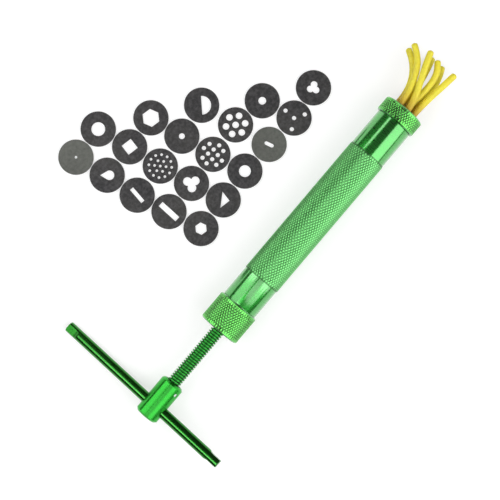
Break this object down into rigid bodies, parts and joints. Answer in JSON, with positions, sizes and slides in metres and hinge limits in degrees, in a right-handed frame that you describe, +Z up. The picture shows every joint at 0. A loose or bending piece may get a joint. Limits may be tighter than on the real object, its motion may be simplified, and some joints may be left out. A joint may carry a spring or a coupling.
{
  "type": "clay extruder",
  "caption": "Hand cranked clay extruder: a knurled barrel with a screw driven plunger, a tommy bar and a ring nut for its die, with a set of loose die discs beside it.",
  "frame": {"origin": "on the table under the middle of the whole set: the extruder, its clay strands and the loose discs", "axes": "+X along the barrel from the handle to the outlet, +Y from the barrel towards the loose discs, +Z up"},
  "size_m": [0.2462, 0.1746, 0.0236],
  "materials": {
    "green_anodised": "satin",
    "dark_green_anodised": "gloss",
    "bare_aluminium": "satin",
    "steel": "satin",
    "blackened_steel": "matte",
    "seal_rubber": "matte",
    "yellow_clay": "matte"
  },
  "bodies": {
    "barrel": {"barrel": "green_anodised", "rear_cap": "green_anodised"},
    "plunger": {"plunger": "bare_aluminium", "plunger_o_ring": "seal_rubber"},
    "lead_screw": {"lead_screw": "dark_green_anodised", "handle_hub": "green_anodised", "hub_pin": "steel", "plunger_screw": "steel"},
    "handle_bar": {"handle_bar": "dark_green_anodised"},
    "fitted_disc": {"fitted_disc": "blackened_steel", "clay_strands": "yellow_clay"},
    "front_cap": {"front_cap": "green_anodised"},
    "disc_pin_hole": {"disc_pin_hole": "blackened_steel"},
    "disc_teardrop": {"disc_teardrop": "blackened_steel"},
    "disc_slot_narrow": {"disc_slot_narrow": "blackened_steel"},
    "disc_slot_wide": {"disc_slot_wide": "blackened_steel"},
    "disc_hexagon_small": {"disc_hexagon_small": "blackened_steel"},
    "disc_round_large": {"disc_round_large": "blackened_steel"},
    "disc_square": {"disc_square": "blackened_steel"},
    "disc_nineteen_hole": {"disc_nineteen_hole": "blackened_steel"},
    "disc_trefoil_large": {"disc_trefoil_large": "blackened_steel"},
    "disc_triangle": {"disc_triangle": "blackened_steel"},
    "disc_hexagon_large": {"disc_hexagon_large": "blackened_steel"},
    "disc_round_fine": {"disc_round_fine": "blackened_steel"},
    "disc_twelve_hole": {"disc_twelve_hole": "blackened_steel"},
    "disc_round_medium": {"disc_round_medium": "blackened_steel"},
    "disc_half_round": {"disc_half_round": "blackened_steel"},
    "disc_seven_hole": {"disc_seven_hole": "blackened_steel"},
    "disc_slot_short": {"disc_slot_short": "blackened_steel"},
    "disc_round_small": {"disc_round_small": "blackened_steel"},
    "disc_four_hole": {"disc_four_hole": "blackened_steel"},
    "disc_trefoil_small": {"disc_trefoil_small": "blackened_steel"}
  },
  "joints": [
    {"name": "screw_turn", "type": "hinge", "parent": "plunger", "child": "lead_screw", "pos_m": [0.04069, -0.04128, 0.0118], "axis": [1, 0, 0], "range_deg": [-22704, 8784]},
    {"name": "plunger_travel", "type": "slide", "parent": "barrel", "child": "plunger", "axis": [1, 0, 0], "range_m": [-0.09465, 0.03665]},
    {"name": "bar_slide", "type": "slide", "parent": "lead_screw", "child": "handle_bar", "axis": [0.0259, 0.9889, -0.1462], "range_m": [-0.0475, 0.0305]},
    {"name": "front_cap_turn", "type": "hinge", "parent": "fitted_disc", "child": "front_cap", "pos_m": [0.08704, -0.04128, 0.0118], "axis": [1, 0, 0], "range_deg": [0, 2520]},
    {"name": "front_cap_travel", "type": "slide", "parent": "barrel", "child": "fitted_disc", "axis": [1, 0, 0], "range_m": [0, 0.00705]},
    {"name": "disc_pin_hole_lift", "type": "slide", "parent": "barrel", "child": "disc_pin_hole", "axis": [0, 0, 1], "range_m": [0, 0.03]},
    {"name": "disc_teardrop_lift", "type": "slide", "parent": "barrel", "child": "disc_teardrop", "axis": [0, 0, 1], "range_m": [0, 0.03]},
    {"name": "disc_slot_narrow_lift", "type": "slide", "parent": "barrel", "child": "disc_slot_narrow", "axis": [0, 0, 1], "range_m": [0, 0.03]},
    {"name": "disc_slot_wide_lift", "type": "slide", "parent": "barrel", "child": "disc_slot_wide", "axis": [0, 0, 1], "range_m": [0, 0.03]},
    {"name": "disc_hexagon_small_lift", "type": "slide", "parent": "barrel", "child": "disc_hexagon_small", "axis": [0, 0, 1], "range_m": [0, 0.03]},
    {"name": "disc_round_large_lift", "type": "slide", "parent": "barrel", "child": "disc_round_large", "axis": [0, 0, 1], "range_m": [0, 0.03]},
    {"name": "disc_square_lift", "type": "slide", "parent": "barrel", "child": "disc_square", "axis": [0, 0, 1], "range_m": [0, 0.03]},
    {"name": "disc_nineteen_hole_lift", "type": "slide", "parent": "barrel", "child": "disc_nineteen_hole", "axis": [0, 0, 1], "range_m": [0, 0.03]},
    {"name": "disc_trefoil_large_lift", "type": "slide", "parent": "barrel", "child": "disc_trefoil_large", "axis": [0, 0, 1], "range_m": [0, 0.03]},
    {"name": "disc_triangle_lift", "type": "slide", "parent": "barrel", "child": "disc_triangle", "axis": [0, 0, 1], "range_m": [0, 0.03]},
    {"name": "disc_hexagon_large_lift", "type": "slide", "parent": "barrel", "child": "disc_hexagon_large", "axis": [0, 0, 1], "range_m": [0, 0.03]},
    {"name": "disc_round_fine_lift", "type": "slide", "parent": "barrel", "child": "disc_round_fine", "axis": [0, 0, 1], "range_m": [0, 0.03]},
    {"name": "disc_twelve_hole_lift", "type": "slide", "parent": "barrel", "child": "disc_twelve_hole", "axis": [0, 0, 1], "range_m": [0, 0.03]},
    {"name": "disc_round_medium_lift", "type": "slide", "parent": "barrel", "child": "disc_round_medium", "axis": [0, 0, 1], "range_m": [0, 0.03]},
    {"name": "disc_half_round_lift", "type": "slide", "parent": "barrel", "child": "disc_half_round", "axis": [0, 0, 1], "range_m": [0, 0.03]},
    {"name": "disc_seven_hole_lift", "type": "slide", "parent": "barrel", "child": "disc_seven_hole", "axis": [0, 0, 1], "range_m": [0, 0.03]},
    {"name": "disc_slot_short_lift", "type": "slide", "parent": "barrel", "child": "disc_slot_short", "axis": [0, 0, 1], "range_m": [0, 0.03]},
    {"name": "disc_round_small_lift", "type": "slide", "parent": "barrel", "child": "disc_round_small", "axis": [0, 0, 1], "range_m": [0, 0.03]},
    {"name": "disc_four_hole_lift", "type": "slide", "parent": "barrel", "child": "disc_four_hole", "axis": [0, 0, 1], "range_m": [0, 0.03]},
    {"name": "disc_trefoil_small_lift", "type": "slide", "parent": "barrel", "child": "disc_trefoil_small", "axis": [0, 0, 1], "range_m": [0, 0.03]}
  ],
  "couplings": [
    {"joint": "plunger_travel", "follows": "screw_turn", "m_per_rad": 0.00023873},
    {"joint": "front_cap_travel", "follows": "front_cap_turn", "m_per_rad": 0.00015915}
  ]
}
